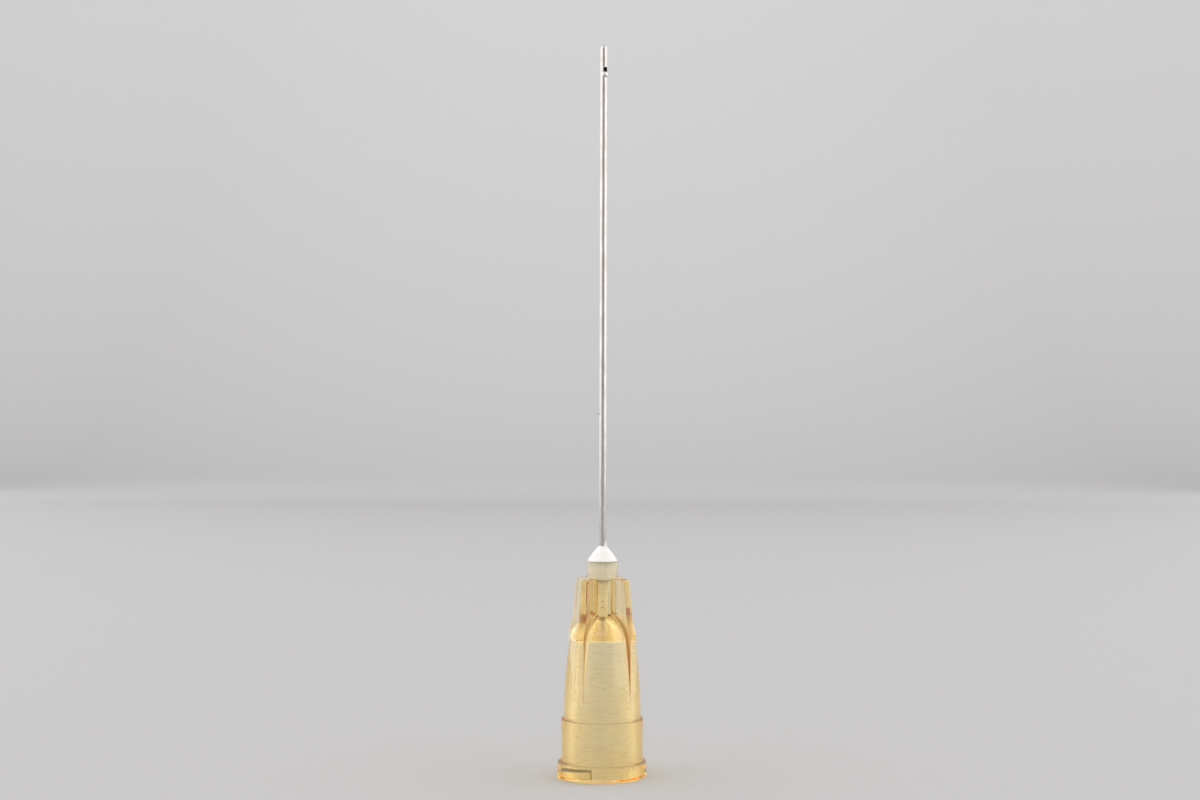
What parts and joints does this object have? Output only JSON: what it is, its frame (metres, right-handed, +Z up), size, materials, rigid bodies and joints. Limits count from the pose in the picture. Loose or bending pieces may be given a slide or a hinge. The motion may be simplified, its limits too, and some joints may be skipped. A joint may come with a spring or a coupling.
{
  "type": "hypodermic needle",
  "caption": "Blunt hypodermic needle: a closed-tip steel cannula with a side port, bonded into a clear orange hub with a taper socket, lock lugs and finned neck.",
  "frame": {"origin": "centre of the ring that the hub stands on, at the mouth of its socket", "axes": "+Z up along the cannula towards its tip; the fins lie along X and Y and the lock lugs along Y"},
  "size_m": [0.0066, 0.0078, 0.0553],
  "materials": {
    "clear_orange_plastic": "clear moulded",
    "needle_steel": "drawn and polished",
    "white_adhesive": "cured, smooth"
  },
  "bodies": {
    "root": {"hub": "clear_orange_plastic", "cannula": "needle_steel", "adhesive_bead": "white_adhesive"}
  },
  "joints": []
}
